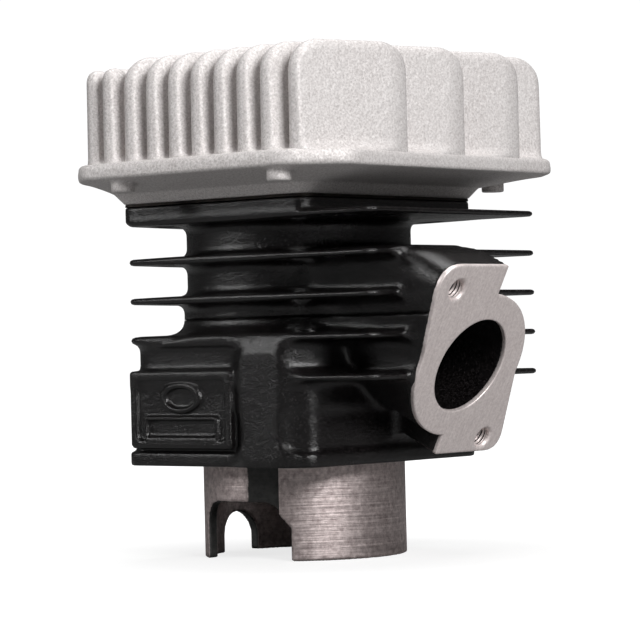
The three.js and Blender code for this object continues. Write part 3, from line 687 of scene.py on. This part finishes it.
addPiece("finnedCasting", *surfaceNet(upperHalf, (*barrelLow[:2], splitZ), barrelHigh, cell),
         painted, "barrel", "barrel")
addPiece("lowerCasting",
         *surfaceNet(lowerHalf, (*barrelLow[:2], skirt["length"]), (*barrelHigh[:2], splitZ), cell),
         painted, "barrel", "barrel")
around = skirt["radius"]
addPiece("turnedSkirt",
         *surfaceNet(skirtField, (-around, -around, 0), (around, around, deckTop), cell * 0.85),
         turned, "barrel", "barrel")
addPiece("flangeFace", *flangeFace(), milled, "barrel", "barrel")
for sleeveName, way in (("upperThread", -1), ("lowerThread", 1)):
    addPiece(sleeveName, *threadedSleeve(way * exhaust["screwU"], -way * exhaust["screwV"]),
             milled, "barrel", "barrel")
addPiece("headPlate",
         *surfaceNet(plateField, (head["backX"], -head["halfY"], footZ),
                     (head["frontX"], head["halfY"], footZ + 22), cell),
         blasted, "cylinder_head", "head")
addPiece("leftHeadFins", *headFins(range(0, 7)), blasted, "cylinder_head", "head")
addPiece("rightHeadFins", *headFins(range(7, 14)), blasted, "cylinder_head", "head")

nodeFinishes = {
    "head_gasket": plainMetal("gasketSheet", (0.02, 0.018, 0.017), (0.05, 0.045, 0.04), 0.4,
                              (300, 300, 60)),
    "piston": plainMetal("pistonAlloy", (0.5, 0.5, 0.51), (0.72, 0.72, 0.73), 0.32, (60, 60, 2400)),
    "top_ring": plainMetal("ringIron", (0.18, 0.18, 0.19), (0.32, 0.32, 0.33), 0.35, (90, 90, 3000)),
    "gudgeon_pin": plainMetal("pinSteel", (0.5, 0.51, 0.53), (0.68, 0.69, 0.71), 0.16,
                              (1200, 60, 1200)),
    "left_circlip": plainMetal("springSteel", (0.12, 0.12, 0.13), (0.24, 0.24, 0.26), 0.3,
                               (800, 800, 800)),
}
sameFinish = {"second_ring": "top_ring", "top_ring_peg": "gudgeon_pin",
              "second_ring_peg": "gudgeon_pin", "right_circlip": "left_circlip"}
for nodeName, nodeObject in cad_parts.items():
    chosen = nodeFinishes.get(sameFinish.get(nodeName, nodeName))
    if chosen:
        nodeObject.data.materials.clear()
        nodeObject.data.materials.append(chosen)
print("materials set")


# Stage, lights and camera, in metres.
# glowNear is the weaker glow under the object, a painted shade on the floor
studio = {"floorSize": 6.0, "paper": 0.22, "glowNear": 0.78, "glowFar": 1.05, "sky": 0.07,
          "backdrop": 1.05}
lights = {"keyLight": ((0.95, -0.40, 0.55), 0.4, 12.0),
          "fillLight": ((-0.65, -0.9, 0.50), 0.3, 4.0),
          "topLight": ((0.0, 0.1, 1.3), 0.9, 12.0)}


def addFloor():
    # paper that looks white: it glows to the camera only, less under the object, which paints a shade
    # there, and fully further away; its own grey colour throws little light back; its back is clear,
    # so the object can be seen from below
    kit = NodeKit("paleFloor")
    kit.shader.inputs["Base Color"].default_value = (studio["paper"],) * 3 + (1,)
    kit.shader.inputs["Roughness"].default_value = 0.8
    kit.shader.inputs["Emission Color"].default_value = (1, 1, 1, 1)
    length = kit.node("ShaderNodeVectorMath", operation="LENGTH")
    kit.link(kit.coords, length.inputs[0])
    # glow weaker near the object than further out: a painted shade under it
    away = kit.range(length.outputs["Value"], 0.05, 0.16, studio["glowNear"], studio["glowFar"])
    rays = kit.node("ShaderNodeLightPath")
    back = kit.node("ShaderNodeNewGeometry").outputs["Backfacing"]
    kit.link(kit.math("SUBTRACT", 1.0, back), kit.shader.inputs["Alpha"])
    glow = kit.math("MULTIPLY", rays.outputs["Is Camera Ray"], away)
    kit.link(glow, kit.shader.inputs["Emission Strength"])
    mesh = bpy.data.meshes.new("floor")
    size = studio["floorSize"]
    corners = [(-size, -size, 0), (size, -size, 0), (size, size, 0), (-size, size, 0)]
    mesh.from_pydata(corners, [], [(0, 1, 2, 3)])
    mesh.materials.append(kit.material)
    floor = bpy.data.objects.new("floor", mesh)
    bpy.context.scene.collection.objects.link(floor)


def addSoftbox(name, place, size, power):
    light = bpy.data.lights.new(name, "AREA")
    light.size = size
    light.energy = power
    lamp = bpy.data.objects.new(name, light)
    lamp.location = place
    aim = Vector((0, 0, 0.07)) - Vector(place)
    lamp.rotation_euler = aim.to_track_quat("-Z", "Y").to_euler()
    bpy.context.scene.collection.objects.link(lamp)


def addStudio():
    # white behind the object, but a softer light on it
    world = bpy.data.worlds.new("studio")
    world.use_nodes = True
    tree = world.node_tree
    backdrop = tree.nodes["Background"]
    backdrop.inputs["Color"].default_value = (1, 1, 1, 1)
    rays = tree.nodes.new("ShaderNodeLightPath")
    strength = tree.nodes.new("ShaderNodeMapRange")
    strength.inputs["To Min"].default_value = studio["sky"]
    strength.inputs["To Max"].default_value = studio["backdrop"]
    tree.links.new(rays.outputs["Is Camera Ray"], strength.inputs["Value"])
    tree.links.new(strength.outputs["Result"], backdrop.inputs["Strength"])
    bpy.context.scene.world = world


view = {"distance": 0.732, "height": 0.056, "towards": (0.657, -0.754), "lens": 156.4,
        "aimRight": 0.00694, "aimUp": 0.0072, "roll": math.radians(1.4)}


def addCamera():
    # looks at the bore axis from the exhaust side, slightly rolled
    outwards = Vector((*view["towards"], 0)).normalized()
    right = Vector((-outwards.y, outwards.x, 0))
    up = Vector((0, 0, 1))
    forward = (-outwards + right * view["aimRight"] + up * view["aimUp"]).normalized()
    right = forward.cross(up).normalized()
    top = right.cross(forward).normalized()
    rolledTop = top * math.cos(view["roll"]) + right * math.sin(view["roll"])
    rolledRight = forward.cross(rolledTop).normalized()
    data = bpy.data.cameras.new("camera")
    data.lens = view["lens"]
    data.sensor_width = 36
    data.clip_start = 0.01
    camera = bpy.data.objects.new("camera", data)
    place = Vector((boreX * 0.001, 0, view["height"])) + outwards * view["distance"]
    rotation = Matrix((rolledRight, rolledTop, -forward)).transposed().to_4x4()
    camera.matrix_world = Matrix.Translation(place) @ rotation
    bpy.context.scene.collection.objects.link(camera)
    bpy.context.scene.camera = camera


addFloor()
for lightName, settings in lights.items():
    addSoftbox(lightName, *settings)
addStudio()
bpy.context.scene.view_settings.view_transform = "Standard"
addCamera()
print("stage set")
